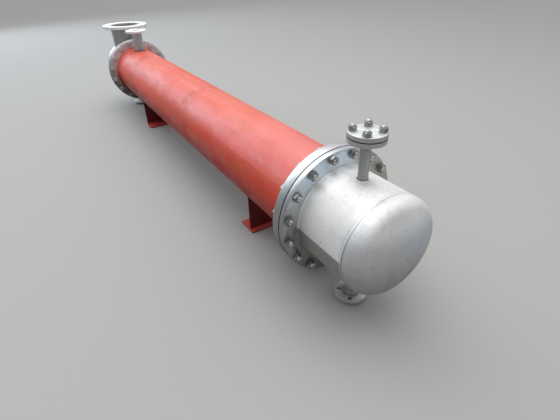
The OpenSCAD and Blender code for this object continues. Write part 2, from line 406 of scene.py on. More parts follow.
def primer(name, red, gloss):
    """Sprayed primer: mottled, a little chalky, rubbed and dusty in places. Gives its mottle too."""
    f = Finish(name, Specular_IOR_Level=gloss)
    mottle = f.noise(21.0, 5, 0.65)
    chalk = f.noise(7.0, 6, 0.7, f.stretched(0.6, 1.6, 1.6))
    rubbed = f.noise(11.0, 7, 0.75, f.stretched(1.0, 2.0, 2.0))
    f.begin(f.noise(2.6, 4, 0.6).between(0.35, 0.68), red["base"], red["deep"])
    f.lay(mottle.between(0.50, 0.80), (0.4, red["deep"]))
    f.lay(chalk.between(0.5, 0.8), (0.30, red["dusty"]))
    f.lay(rubbed.between(0.66, 0.82), RUBBED)
    f.lay(f.specks(85.0, 0.05), CHIPPED)
    return f, mottle


BAKED = (0.45, (0.54, 0.100, 0.034))
# Dust on the top, pinker towards the flank; laid this strongly it is also a painted highlight
TOP_DUST_AND_HIGHLIGHT = (0.78, 0.32, 0.25)
FLANK_DUST_AND_HIGHLIGHT = (0.80, 0.36, 0.37)
# A painted highlight: the bright sky reflected in a band along the upper flank
PAINTED_HIGHLIGHT_BAND = (0.20, (0.80, 0.42, 0.50))
# Painted light on the lower flank towards the far end
PAINTED_FLANK_LIGHT = (0.52, (0.98, 0.235, 0.175))
# Painted shade low on the flank and under the shell
PAINTED_FLANK_SHADE = (0.25, (0.42, 0.020, 0.012))
PAINTED_UNDERSIDE_SHADE = (0.56, (0.33, 0.004, 0.003))


def weather_and_paint_light_on_shell(f):
    """Lays baked streaks and dust on the top, the dust also a painted highlight; a painted highlight band,
    painted light on the far flank, and painted shade low on the flank and underside.
    """
    off_top = f.off_top()
    baked = f.noise(5.0, 5, 0.65, f.stretched(0.45, 1.5, 1.5)).between(0.48, 0.62)
    chalky = f.noise(3.4, 5, 0.65, f.stretched(0.6, 1.4, 1.4)).between(0.35, 0.65)
    f.lay(baked * f.up.above(0.0), BAKED)
    # Dust on the top, strong enough to paint the highlight there too
    settled_dust_and_highlight = f.up.between(0.04, 0.19) * (0.5 + chalky * 0.5)
    towards_flank = off_top.between(16.0, 36.0).at_least(f.x.between(0.7, 1.35) * 0.8)
    dusty_and_highlight = f.blend(towards_flank, TOP_DUST_AND_HIGHLIGHT, FLANK_DUST_AND_HIGHLIGHT)
    f.lay(settled_dust_and_highlight, (0.37 + f.x.between(0.3, 1.2) * 0.10, dusty_and_highlight))
    # Painted highlight band about 48 degrees off the top
    f.lay(f.tent(off_top - 48.0, 20.0) * (0.4 + f.x.between(-0.6, 0.4) * 0.2 + chalky * 0.4), PAINTED_HIGHLIGHT_BAND)
    # Painted light on the far flank
    f.lay(f.tent(off_top - 73.0, 22.0) * f.x.fading(-0.7, 0.1), PAINTED_FLANK_LIGHT)
    # Painted shade low on the flank and under the shell
    f.lay(f.tent(off_top - 86.0, 16.0) * f.x.between(-0.4, 0.3), PAINTED_FLANK_SHADE)
    f.lay(off_top.size().between(84.0, 102.0), PAINTED_UNDERSIDE_SHADE)


GIRTH_SEAM_HALF = 0.0062
LONG_SEAM_HALF = 0.0045
SEAM_BRUSHED = (0.5, (0.46, 0.095, 0.050))
SEAM_UNDERCUT = (0.6, (0.16, 0.035, 0.024))


def mark_shell_seams(f, brushed):
    """Brushed bands beside the shell's girth seams, and undercut lines along all its seams.

    Gives the height of the seams, and of the low ridge that rolling left along the lengthwise one.
    """
    from_seam = f.off_top() - SHELL_SEAM_ANGLE
    across = from_seam * (SHELL_R * math.pi / 180)
    near_length = f.x.between(GIRTH_SEAMS["shell_seam_middle"] + 0.1, 1.0)
    undercut = f.tent(across - LONG_SEAM_HALF, 0.0014) * near_length * 0.7
    raised = f.tent(across, LONG_SEAM_HALF) * near_length * 0.4
    for x in GIRTH_SEAMS.values():
        away = f.x - x
        f.lay(f.tent(away + 0.09, 0.11) * brushed.between(0.38, 0.60), SEAM_BRUSHED)
        undercut = undercut + f.tent(away.size() - GIRTH_SEAM_HALF - 0.0003, 0.0018)
        raised = raised + f.tent(away, GIRTH_SEAM_HALF)
    f.lay(undercut * f.noise(30.0, 3, 0.6).between(0.35, 0.6), SEAM_UNDERCUT)
    return raised, f.tent(from_seam, 13.0) * near_length


# Rubbed spots of the shell: place along X, degrees off the top, and half length
SCUFFS = ((0.92, 45, 0.05), (1.20, 50, 0.13))
SCUFF_HALF_WIDTH = 0.035
SCUFFED = (0.5, (0.34, 0.115, 0.085))


def scuff_shell(f):
    """Rubbed spots, as a mask that is also laid as a coat."""
    scuffed = 0
    for x, angle, half_length in SCUFFS:
        up, side = math.cos(math.radians(angle)), math.sin(math.radians(angle))
        spot = Vector((x, -SHELL_R * side, AXIS + SHELL_R * up))
        shrunk = (SCUFF_HALF_WIDTH / half_length, 1, 1)
        scuffed = scuffed + f.tent(f.distance_to(spot, shrunk), SCUFF_HALF_WIDTH)
    scuffed = scuffed * f.noise(60.0, 5, 0.7).between(0.46, 0.60)
    f.lay(scuffed, SCUFFED)
    return scuffed


STREAKED = (0.45, (0.30, 0.045, 0.025))
SCORCHED = (0.6, (0.10, 0.030, 0.018))


def burn_at_inlet(f):
    """Heat marks and dark streaks round the foot of the shell inlet."""
    reach = f.from_upright(INLET_X) - SIDE_PIPE_R
    above = f.up.above(0.0)
    streaks = f.noise(45.0, 4, 0.7, f.stretched(1, 0.25, 1))
    f.lay(reach.fading(0.005, 0.09) * streaks * above, STREAKED)
    f.lay(reach.fading(0.004, 0.016) * above, SCORCHED)


def shell_primer():
    """Weathered and dusty, with painted highlights and shade, marks of brushing and heat at the welds, and
    two rubbed spots.
    """
    f, mottle = primer("shell primer", SHELL_RED, gloss=0.20)
    brushed = f.noise(6.0, 5, 0.7, f.stretched(1.0, 2.0, 2.0))
    weather_and_paint_light_on_shell(f)
    seams, ridge = mark_shell_seams(f, brushed)
    scuffed = scuff_shell(f)
    burn_at_inlet(f)
    f.roughness(0.29 + mottle * 0.10 + scuffed * 0.10 + brushed.between(0.38, 0.62) * 0.16)
    orange_peel = f.noise(170.0, 3, 0.6)
    dents = f.noise(2.2, 3, 0.5)
    f.bump((orange_peel, 0.00012), (mottle, 0.00025), (dents, 0.006), (seams, 0.0008), (ridge, 0.0012))
    return f.done()


# Painted shade on the saddles above their base plates
SADDLE_PAINTED_SHADE = (0.86, (0.10, 0.006, 0.006))
GROUND_DUST = (0.35, (0.26, 0.17, 0.13))


def saddle_primer():
    """Darker than the shell's above the base plates, which is painted shade, and dusty at the ground."""
    f, mottle = primer("saddle primer", SADDLE_RED, gloss=0.36)
    # Painted shade above the base plates
    f.lay(f.z.between(0.012, 0.03), SADDLE_PAINTED_SHADE)
    f.lay(f.z.fading(0.0, 0.035) * f.noise(30.0, 4, 0.6), GROUND_DUST)
    f.roughness(0.46 + mottle * 0.16)
    f.bump((f.noise(170.0, 3, 0.6), 0.00022), (mottle, 0.0005))
    return f.done()


# Pickled stainless steel

PLATE_DARK, PLATE_LIGHT = (0.77, 0.775, 0.78), (0.92, 0.93, 0.94)
MOTTLED = (0.45, (0.54, 0.54, 0.53))
GRAINY = (0.34, (0.42, 0.42, 0.41))
PLATE_STREAKS = (0.30, (0.50, 0.50, 0.49))
FLECKED = (0.26, (0.45, 0.45, 0.44))
GROUND_BRIGHT = (0.6, (0.86, 0.86, 0.85))
# Dirt and painted shade in the corner where the barrel meets its flange
FLANGE_CORNER_DIRT_AND_SHADE = (0.7, (0.10, 0.09, 0.085))
PITTED = (0.65, (0.13, 0.115, 0.10))
# The dark undercut line at the head's seam; its strength by height is painted shade
UNDERCUT_AND_SHADE = (1.0, (0.040, 0.037, 0.034))


def plate_skin(f, clouds, mottle, grain):
    """The plate's own surface, away from welds and edges."""
    f.begin(clouds.between(0.30, 0.66), PLATE_DARK, PLATE_LIGHT)
    f.lay(mottle.between(0.48, 0.78), MOTTLED)
    f.lay(grain.between(0.46, 0.70), GRAINY)
    f.lay(f.noise(9.0, 4, 0.6, f.stretched(0.5, 12, 12)).between(0.56, 0.78), PLATE_STREAKS)
    f.lay(f.noise(120.0, 3, 0.6).between(0.54, 0.72), FLECKED)


# Stains on the head, laid stronger lower down, which is also painted shade
HEAD_STAINS_AND_SHADE = (0.65, (0.38, 0.355, 0.33))
# A painted highlight on the barrel
PAINTED_HIGHLIGHT_BARREL = (0.99, 0.995, 1.0)
# Painted shade, a painted highlight and a painted bluish sky reflection on the head
PAINTED_SHADE_HEAD = (0.46, (0.43, 0.425, 0.43))
PAINTED_HIGHLIGHT_HEAD = (0.96, 0.965, 0.975)
PAINTED_SKY_REFLECTION_HEAD = (0.60, (0.60, 0.67, 0.79))


def paint_light_on_bonnet(f, past_seam, clouds):
    """Stains on the head, stronger lower down as painted shade; painted highlights on the barrel's flank, its
    +Y side and the upper head; painted shade and a painted bluish sky reflection on the rest of the head.
    """
    on_head = past_seam.above(0.0)
    on_barrel = 1 - on_head
    stains = f.noise(6.0, 4, 0.6, f.stretched(1, 1.3, 0.8)).between(0.42, 0.66)
    # Stains, stronger lower down as painted shade
    f.lay(on_head * stains * (0.35 + f.up.fading(-0.14, 0.08) * 0.65), HEAD_STAINS_AND_SHADE)
    # Painted highlight on the barrel's upper flank and on its +Y side
    flank = f.up.between(0.01, 0.07) * f.up.fading(0.10, 0.16)
    f.lay(on_barrel * flank, (0.55 - past_seam.between(-0.10, 0.0) * 0.35, PAINTED_HIGHLIGHT_BARREL))
    f.lay(on_barrel * f.y.between(0.0, 0.10), (0.65, PAINTED_HIGHLIGHT_BARREL))
    lift = f.up.between(0.05, 0.14)
    # Painted shade on the head below, and a painted highlight above
    f.lay(on_head * (1 - lift), PAINTED_SHADE_HEAD)
    f.lay(on_head * lift, (0.14 + f.y.between(-0.06, 0.06) * 0.34, PAINTED_HIGHLIGHT_HEAD))
    # Painted reflection of the bluish sky across the head's middle, less at its top
    bluish = f.up.between(-0.10, 0.05) * (0.25 + f.y.between(-0.08, 0.10) * 0.75) * (1 - lift * 0.85)
    f.lay(on_head * bluish * (0.55 + clouds.between(0.3, 0.66) * 0.45), PAINTED_SKY_REFLECTION_HEAD)


NOZZLE_HALO = (0.45, (0.45, 0.425, 0.38))
NOZZLE_BRUSHED = (0.6, (0.80, 0.79, 0.77))


def mark_nozzle_foot(f, nozzle, patchy):
    """Heat colour and a brushed ring round the foot of a nozzle."""
    reach = f.from_upright(nozzle.x) - nozzle.radius
    here = (f.up * nozzle.way).above(0.0)
    f.lay(reach.fading(0.014, 0.040) * here * patchy.between(0.30, 0.75), NOZZLE_HALO)
    f.lay(reach.fading(0.004, 0.013) * here, NOZZLE_BRUSHED)


# Painted shade below the barrel's lengthwise seam
PAINTED_SHADE_BELOW_SEAM = (0.82, (0.26, 0.245, 0.225))
SEAM_LINE = (0.8, (0.10, 0.09, 0.085))
# Painted shade, darker towards the bottom
PAINTED_SHADE_LOW = (0.30, 0.29, 0.275)


def paint_shade_on_low_side(f, past_seam, patchy):
    """Paints shade on what faces the ground, below the barrel's lengthwise seam, and darker towards the
    bottom on the rest.

    Gives the height of the flat that rolling left along that seam.
    """
    below = f.off_top() - PLATE_SEAM_ANGLE
    on_flank = (0 - past_seam).above(0.001) * (0 - f.y).above(0.0)
    f.lay(below.above(0.0) * below.fading(15.0, 85.0) * on_flank, PAINTED_SHADE_BELOW_SEAM)
    f.lay(f.tent(below + 0.5, 0.35) * on_flank, SEAM_LINE)
    head_flank = past_seam.above(0.0) * past_seam.fading(0.02, 0.10) * f.up.between(-0.08, 0.05)
    # Painted shade towards the bottom, weaker on the head's flank
    painted_shade_low = f.up.fading(-0.19, 0.13) * (1 - on_flank) * (1 - head_flank * 0.7)
    f.lay(painted_shade_low, (0.50 + patchy * 0.4, PAINTED_SHADE_LOW))
    return f.tent(below, 13.0) * on_flank


HEAD_SEAM_HALF = 0.0065


def pickled_plate(name, end):
    """Rolled stainless plate, pickled and matte, ground along the head's seam and stained at its welds, with
    painted highlights and shade.
    """
    f = Finish(name, Metallic=0.75)
    clouds = f.noise(4.5, 5, 0.6)
    mottle = f.noise(30.0, 6, 0.68)
    grain = f.noise(500.0, 2, 0.6)
    patchy = f.noise(26.0, 4, 0.7)
    past_seam = f.x * end.way - end.seam * end.way
    seam = past_seam.size()
    ground = seam.fading(0.006, 0.022)
    plate_skin(f, clouds, mottle, grain)
    f.lay(ground * patchy, GROUND_BRIGHT)
    # Dirt and painted shade at the flange's corner
    f.lay(f.tent(f.x - end.flange_front, 0.0014) * patchy.between(0.30, 0.55), FLANGE_CORNER_DIRT_AND_SHADE)
    paint_light_on_bonnet(f, past_seam, clouds)
    for nozzle in NOZZLES:
        if not nozzle.on_shell and (nozzle.x > 0) == (end.way > 0):
            mark_nozzle_foot(f, nozzle, patchy)
    flat = paint_shade_on_low_side(f, past_seam, patchy)
    f.lay(f.specks(46.0, 0.075) * f.noise(8.0).between(0.42, 0.55), PITTED)
    on_head = past_seam.above(0.0)
    # Undercut line, fainter at the top and wider low on the head, which is painted shade
    undercut = f.tent(seam - HEAD_SEAM_HALF - 0.0007, 0.0021 + f.up.fading(-0.02, 0.10) * on_head * 0.0013)
    f.lay(undercut * (1 - f.up.between(0.08, 0.20) * 0.45) * (0.42 + on_head * 0.43), UNDERCUT_AND_SHADE)
    f.roughness(0.56 + mottle * 0.10 - ground * 0.072)
    f.bump((grain, 0.00014), (mottle, 0.00022), (clouds, 0.0022), (f.tent(seam, HEAD_SEAM_HALF), 0.0009),
           (flat, 0.0035))
    return f.done()


PIPE_DARK, PIPE_LIGHT = (0.36, 0.36, 0.355), (0.47, 0.47, 0.465)
PIPE_MOTTLED = (0.35, (0.28, 0.27, 0.25))
PIPE_BURNT = (0.5, (0.20, 0.155, 0.115))
# A blue-grey tint, painted to offset the shell's red reflected in the shell's nozzle pipes
SHELL_NOZZLE_TINT = (0.85, (0.43, 0.58, 0.63))


def pickled_pipe():
    """Drawn stainless pipe: duller, with marks along its length and heat colour at its flange; on the shell's
    nozzles a painted blue-grey tint offsets the shell's red reflected in them.
    """
    f = Finish("pickled pipe", Metallic=0.6)
    streaks = f.noise(60.0, 4, 0.65, f.stretched(1, 1, 0.06))
    mottle = f.noise(55.0, 4, 0.65)
    patchy = f.noise(40.0, 3, 0.6, f.stretched(1, 1, 0.4)).between(0.2, 0.7)
    f.begin(streaks.between(0.35, 0.68), PIPE_DARK, PIPE_LIGHT)
    f.lay(mottle.between(0.52, 0.8), PIPE_MOTTLED)
    for nozzle in NOZZLES:
        on_it = f.from_upright(nozzle.x).fading(nozzle.radius + 0.010, nozzle.radius + 0.012)
        from_flange = (f.z - nozzle.flange_back).size()
        f.lay(from_flange.fading(0.006, 0.030) * on_it * patchy, PIPE_BURNT)
        if nozzle.on_shell:
            f.lay(on_it, SHELL_NOZZLE_TINT)
    f.roughness(0.42 + mottle * 0.16)
    f.bump((streaks, 0.00020), (f.noise(400.0, 2, 0.6), 0.00008))
    return f.done()


# Faced steel of the flanges and tubesheets

STEEL_TINT = (0.975, 1.0, 1.025)
STAINED_STEEL = (0.55, (0.38, 0.345, 0.30))
STEEL_SPECKS = (0.6, (0.16, 0.14, 0.12))
# Grime and painted shade, darker towards the bottom
STEEL_GRIME_AND_SHADE = (0.27, 0.265, 0.25)
# Sealant smear and the painted shade of the gap beside a gasket
GASKET_SMEAR_AND_SHADE = (0.9, (0.03, 0.03, 0.03))
# Depths under a flange's rim, whose edges are eased, at which the rim's finish starts and is full
RIM_START = 0.003
RIM_FULL = 0.001


def faced_steel(name, distance, levels, metallic=1.0):
    """Steel turned in a lathe: distance grows from one tool mark to the next, over faces and rims.

    levels are how light its bright, plain and dull patches are. It darkens towards the bottom, as grime and
    painted shade. Gives its stains too.
    """
    f = Finish(name, Metallic=metallic)
    marks = f.lines(distance(f), 1500.0, 3)
    coarse = f.lines(distance(f), 260.0, 2)
    stains = f.noise(26.0, 6, 0.72)
    bright, plain, dull = (tuple(level * tint for tint in STEEL_TINT) for level in levels)
    f.begin(f.noise(11.0, 5, 0.62).between(0.3, 0.7), plain, bright)
    f.lay(marks.between(0.45, 0.8), (0.30, dull))
    f.lay(stains.between(0.56, 0.80), STAINED_STEEL)
    f.lay(f.specks(75.0, 0.05), STEEL_SPECKS)
    # Grime and painted shade on the lower parts
    grime_and_shade_low = f.z.fading(0.15, 0.68) * (0.48 + f.z.between(0.05, 0.12) * 0.52)
    f.lay(grime_and_shade_low, (0.70 + stains * 0.3, STEEL_GRIME_AND_SHADE))
    f.roughness(0.30 + coarse * 0.10 + stains * 0.16)
    f.bump((marks, 0.00010), (coarse, 0.00010), (stains, 0.00025))
    return f, stains


def smear_and_shade_gasket(f, place, start, end, reach):
    """Blackens the steel beside a gasket, whose faces lie at start and end, as sealant smear and the painted
    shade of the gap.
    """
    past = (place - (start + end) / 2).size() - (end - start) / 2
    f.lay(past.fading(0.0002, reach), GASKET_SMEAR_AND_SHADE)


BODY_LEVELS = (0.77, 0.615, 0.43)
# Painted highlights and shade on the rims: bright high up, darker at the side, low down and at the far end,
# with a painted highlight on the far crest
PAINTED_HIGHLIGHT_RIM = (0.30, (0.86, 0.875, 0.885))
PAINTED_SHADE_SIDE_RIM = (0.60, (0.46, 0.45, 0.50))
PAINTED_SHADE_LOW_RIM = (0.54, (0.15, 0.155, 0.155))
PAINTED_SHADE_LOWEST_RIM = (0.50, (0.10, 0.10, 0.098))
PAINTED_SHADE_FAR_RIM = (0.90, (0.24, 0.225, 0.21))
PAINTED_HIGHLIGHT_FAR_CREST = (0.85, (0.82, 0.81, 0.80))
# Painted reflection of the bluish sky high on the faces
PAINTED_SKY_REFLECTION_FACE = (0.77, 0.895, 1.0)
BROWNISH_FACE = (0.9, (0.50, 0.47, 0.425))
# The tubesheets' backs, with painted shade towards the foot
SHEET_BACK, SHEET_BACK_PAINTED_SHADE = (0.63, 0.565, 0.605), (0.17, 0.165, 0.16)


def body_faced_steel():
    """Tubesheets and bonnet flanges: rims, faces towards the bonnets, and backs towards the shell, with
    painted highlights, shade and sky reflection.
    """
    f, stains = faced_steel("faced body steel", lambda f: f.from_body_axis() + f.x, BODY_LEVELS)
    rim = f.from_body_axis().between(BODY_RIM_R - RIM_START, BODY_RIM_R - RIM_FULL)
    near = f.x.above(0.0)
    far = 1 - near
    high_up = f.up.between(0.06, 0.24)
    # Painted highlights and shade on the rims
    f.lay(high_up * rim * near, PAINTED_HIGHLIGHT_RIM)
    f.lay(high_up * rim * f.y.between(-0.13, -0.02), PAINTED_SHADE_SIDE_RIM)
    f.lay(rim * (1 - high_up), PAINTED_SHADE_LOW_RIM)
    f.lay(rim * f.up.fading(-0.12, 0.0), PAINTED_SHADE_LOWEST_RIM)
    crest = rim * far * f.y.between(-0.17, -0.06) * f.up.above(0.0)
    f.lay(rim * far - crest, PAINTED_SHADE_FAR_RIM)
    f.lay(crest, PAINTED_HIGHLIGHT_FAR_CREST)

    face = 1 - rim
    # Painted sky reflection high on the faces
    f.lay(high_up * face * f.y.fading(0.02, 0.13), (0.86 + f.y.between(-0.16, -0.04) * 0.12, PAINTED_SKY_REFLECTION_FACE))
    f.lay(f.y.between(0.02, 0.13) * face * (0.45 + stains.between(0.35, 0.6) * 0.5), BROWNISH_FACE)

    backs = sum(f.tent(f.x - end.sheet_back, 0.001) for end in (NEAR, FAR)).at_most(1.0)
    # Painted shade towards the foot of the backs
    back_colour_and_shade = f.blend(f.up.between(-0.20, 0.25), SHEET_BACK_PAINTED_SHADE, SHEET_BACK)
    f.lay(backs, (0.6 + stains * 0.5, back_colour_and_shade))
    f.metallic(1 - (backs * 0.85).at_least(crest * 0.80))
    for end in (NEAR, FAR):
        gasket = end.name + "_gasket"
        smear_and_shade_gasket(f, f.x, low(gasket).x, high(gasket).x, reach=0.0028)
    return f.done()


# The lighter, less metallic copies at the far end and the inlet are painted light
NEAR_NOZZLE = {"levels": (0.86, 0.72, 0.52), "metallic": 0.60}
FAR_NOZZLE_LIT = {"levels": (0.97, 0.92, 0.77), "metallic": 0.35}
INLET_NOZZLE_LIT = {"levels": (0.97, 0.965, 0.90), "metallic": 0.30}
# Painted shade on the near rims and a painted bluish highlight on the far ones; by the shell the vent's rim
# gets painted shade, tinted to offset the shell's red reflected in it
NEAR_NOZZLE_RIM_SHADE = (0.65, (0.33, 0.315, 0.305))
FAR_NOZZLE_RIM_HIGHLIGHT = (0.75, (0.93, 0.98, 1.0))
VENT_RIM_SHADE_BY_SHELL = (0.75, (0.16, 0.36, 0.40))
# Dirt and painted shade round the pipes under the body
DIRT_AND_SHADE_BY_PIPE = (0.65, (0.08, 0.076, 0.07))
TOP_FLANGES = {VENT_X: "vent_flange", LARGE_X: "large_nozzle_flange", INLET_X: "shell_inlet_flange"}


def nozzle_faced_steel(x):
    """The nozzle flanges at one place along X, above the body and below it, with painted light and shade."""
    name = "faced nozzle steel %s_%d" % ("right" if x > 0 else "left", round(abs(x) * 1000))
    look = NEAR_NOZZLE if x > 0 else INLET_NOZZLE_LIT if x == INLET_X else FAR_NOZZLE_LIT
    f, _ = faced_steel(name, lambda f: f.from_upright(x) + f.z, **look)
    reach = f.from_upright(x)
    above = f.up.above(0.0)
    if x in TOP_FLANGES:
        rim_r = high(TOP_FLANGES[x]).y
        rim = reach.between(rim_r - RIM_START, rim_r - RIM_FULL) * above
        # Painted shade on the near rim, a painted highlight on the far ones
        f.lay(rim, NEAR_NOZZLE_RIM_SHADE if x > 0 else FAR_NOZZLE_RIM_HIGHLIGHT)
        if x == VENT_X:
            f.lay(rim * (x - f.x).between(0.02, 0.06), VENT_RIM_SHADE_BY_SHELL)
    pipe_r = SIDE_PIPE_R if x == OUTLET_X else SMALL_PIPE_R
    # Dirt and painted shade by the pipe, under the body
    f.lay((reach - pipe_r).fading(0.008, 0.030) * (1 - above), DIRT_AND_SHADE_BY_PIPE)
    if x == VENT_X:
        smear_and_shade_gasket(f, f.z, low("vent_gasket").z, high("vent_gasket").z, reach=0.0008)
    return f.done()


# Bolts, gaskets, welds and tubes

BOLT_DARK, BOLT_LIGHT = (0.20, 0.20, 0.195), (0.36, 0.36, 0.355)
BOLT_GRIME = (0.5, (0.10, 0.095, 0.09))
BOLT_TIPS = (1.0, (0.52, 0.52, 0.51))
BOLT_HEADS = (0.85, (0.62, 0.63, 0.64))


def bolt_steel():
    """Dark nuts, brighter thread ends, and dull pale heads behind the tubesheets."""
    f = Finish("bolt steel", Metallic=1.0)
    grime = f.noise(170.0, 3, 0.65)
    f.begin(f.noise(55.0, 4, 0.65).between(0.3, 0.7), BOLT_DARK, BOLT_LIGHT)
    f.lay(grime.between(0.52, 0.75), BOLT_GRIME)
    tips = (f.z - high("vent_blind_flange").z - M16["nut"]).above(0.001)
    heads = 0
    for end in (NEAR, FAR):
        past_nut = (f.x - end.flange_front) * end.way - M22["nut"]
        tips = tips + past_nut.above(0.001) * (1 - past_nut.above(M22["stand_out"] + 0.002))
        past_back = (f.x - end.sheet_back) * end.way
        heads = heads + (0 - past_back).above(0.0005) * past_back.above(-0.03)
    f.lay(tips.at_most(1.0), BOLT_TIPS)
    f.lay(heads, BOLT_HEADS)
    f.metallic(1 - heads * 0.75)
    f.roughness(0.19 + grime * 0.14)
    f.bump((f.noise(900.0, 2, 0.5), 0.00003))
    return f.done()


def gasket_sheet():
    """Black sheet, matte."""
    f = Finish("gasket sheet", Roughness=0.85)
    f.begin(f.noise(90.0, 4, 0.6).between(0.3, 0.7), (0.010, 0.010, 0.011), (0.032, 0.031, 0.030))
    f.bump((f.noise(500.0, 3, 0.6), 0.0001))
    return f.done()


def stainless_weld():
    """A brushed bead with straw and brown heat colour left in its hollows."""
    f = Finish("stainless weld", Metallic=0.55)
    fine = f.noise(330.0, 3, 0.6)
    f.begin(f.noise(48.0, 4, 0.65).between(0.35, 0.65), (0.80, 0.80, 0.79), (0.70, 0.685, 0.65))
    f.lay(fine.between(0.5, 0.75), (0.30, (0.40, 0.375, 0.33)))
    f.roughness(0.26 + fine * 0.18)
    f.bump((fine, 0.00012))
    return f.done()


def rusty_weld():
    """A steel bead that was left bare and has rusted."""
    f = Finish("rusty weld", Metallic=0.35)
    patches = f.noise(90.0, 5, 0.7)
    f.begin(patches.between(0.35, 0.65), (0.24, 0.115, 0.075), (0.13, 0.080, 0.060))
    f.roughness(0.62 + patches * 0.2)
    f.bump((f.noise(420.0, 4, 0.65), 0.0002))
    return f.done()


def drawn_tube():
    """Bare tube with marks along its length."""
    f = Finish("drawn tube", Metallic=1.0)
    streaks = f.noise(80.0, 4, 0.6, f.stretched(0.05, 1, 1))
    f.begin(streaks.between(0.3, 0.7), (0.42, 0.41, 0.39), (0.58, 0.57, 0.55))
    f.roughness(0.34 + streaks * 0.14)
    f.bump((streaks, 0.0002))
    return f.done()


SHELL_PRIMER = shell_primer()
SADDLE_PRIMER = saddle_primer()
BODY_FACED = body_faced_steel()
NOZZLE_FACED = {x: nozzle_faced_steel(x) for x in (VENT_X, LARGE_X, INLET_X, OUTLET_X)}
PLATE = {end.name: pickled_plate("pickled plate " + end.name, end) for end in (NEAR, FAR)}
PIPE = pickled_pipe()
BOLT = bolt_steel()
GASKET = gasket_sheet()
WELD = stainless_weld()
RUSTY_WELD = rusty_weld()
TUBE = drawn_tube()


# CAD nodes with eased edges

PLAIN_EASE = 0.001
EASE_OF = {"gasket": 0.0005, "barrel": 0.0012, "head": 0.0012, "pipe": 0.0006}


def finish_of(node):
    """The finish of a CAD node, by what the piece is."""
    kind = node.split("_")[-1]
    if "saddle" in node:
        return SADDLE_PRIMER
    if node == "shell":
        return SHELL_PRIMER
    if kind == "gasket":
        return GASKET
    if kind in ("barrel", "head"):
        return PLATE[node.split("_")[0]]
    if kind == "pipe":
        return PIPE
    if "bonnet" in node or kind == "tubesheet":
        return BODY_FACED
    return NOZZLE_FACED[min(NOZZLE_FACED, key=lambda x: abs(x - middle(node).x))]


def eased(node, material, edge):
    """A copy of a CAD node with its sharp edges eased, in its place."""
    obj = shown(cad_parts[node].data.copy())
    select_only(obj)
    bpy.ops.object.mode_set(mode="EDIT")
    bpy.ops.mesh.select_all(action="SELECT")
    bpy.ops.mesh.remove_doubles(threshold=0.00002)
    bpy.ops.mesh.dissolve_limited(angle_limit=math.radians(0.5))
    bpy.ops.object.mode_set(mode="OBJECT")
    modified(obj, "BEVEL", width=edge, segments=2, limit_method="ANGLE", angle_limit=math.radians(40))
    smooth(obj)
    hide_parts(node)
    return finish_piece(obj, node + "_finished", material)


def tubes():
    """The tube bundle keeps its CAD mesh, and takes a finish."""
    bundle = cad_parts["tube_bundle"]
    bundle.data.materials.clear()
    bundle.data.materials.append(TUBE)


for node in sorted(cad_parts):
    if node == "tube_bundle":
        tubes()
    else:
        eased(node, finish_of(node), EASE_OF.get(node.split("_")[-1], PLAIN_EASE))


# Bolts

# Sides of the turned blank that is drawn out to a hexagon, four to each flat
HEX_SIDES = 24
FLAT_TURN = TURN / 6
THREAD_SIDES = 20
NUT_FACE = 0.96
HEAD_FACE = 0.95
CHAMFER = 0.001
CHAMFER_SLOPE = math.tan(math.radians(30))


def to_hexagon(obj, flats, face, height, chamfered_foot):
    """Draws a turned blank out to a hexagon, and drops its corners to the cone of the chamfer."""
    for v in obj.data.vertices:
        radius = math.hypot(v.co.x, v.co.y)
        inside_blank = radius < flats / 2 * 0.99
        if inside_blank:
            continue
        angle = math.atan2(v.co.y, v.co.x)
        across = (angle + FLAT_TURN / 2) % FLAT_TURN - FLAT_TURN / 2
        wanted = flats / 2 / math.cos(across)
        v.co.x *= wanted / radius
        v.co.y *= wanted / radius
        drop = (wanted - face) * CHAMFER_SLOPE
        if v.co.z > height / 2:
            v.co.z = height - drop
        elif chamfered_foot:
            v.co.z = drop


def nut(size):
    """A hexagon nut from z = 0 up, chamfered on both faces and countersunk at the thread."""
    flats, height, bore = size["flats"], size["nut"], size["shank"]
    face = flats / 2 * NUT_FACE
    outline = [(bore, 0), (face, 0), (flats / 2, CHAMFER), (flats / 2, height - CHAMFER), (face, height)]
    countersink = [(bore + 0.0011, height), (bore - 0.0003, height - 0.0014)]
    made = turned(outline + countersink, HEX_SIDES)
    to_hexagon(made, flats, face, height, chamfered_foot=True)
    return made


def bolt_head(size):
    """A hexagon head from z = 0 up, chamfered on top only."""
    flats, height = size["flats"], size["head"]
    face = flats / 2 * HEAD_FACE
    outline = [(size["shank"], 0), (flats / 2, 0), (flats / 2, height - CHAMFER), (face, height), (0, height)]
    made = turned(outline, HEX_SIDES)
    to_hexagon(made, flats, face, height, chamfered_foot=False)
    return made


def threaded_end(size, start, length):
    """The end of a bolt's thread from z = start up to its length, with its rounded point."""
    r, pitch = size["shank"], size["pitch"]
    depth = pitch * 0.45
    profile = [(r - depth, start)]
    for i in range(int((length - start - 0.002) / pitch)):
        foot = start + i * pitch
        profile += [(r, foot + pitch * 0.45), (r, foot + pitch * 0.55), (r - depth, foot + pitch)]
    top = profile[-1][1]
    profile += [(r - depth * 0.6, top + (length - top) * 0.45), (r - depth - 0.0012, length - 0.0004),
                (r * 0.62, length), (0, length)]
    return turned(profile, THREAD_SIDES)


def bolt(size, grip):
    """A bolt along Z: nut and thread above z = 0, and the head below z = -grip."""
    shank = turned([(size["shank"], -grip), (size["shank"], 0.001)], THREAD_SIDES)
    cap = bolt_head(size)
    cap.data.transform(Matrix.Translation((0, 0, -grip)) @ Matrix.Rotation(math.pi, 4, "X"))
    thread = threaded_end(size, size["nut"] * 0.6, size["nut"] + size["stand_out"])
    made = join([nut(size), thread, shank, cap], "bolt")
    tidy_mesh(made)
    return made


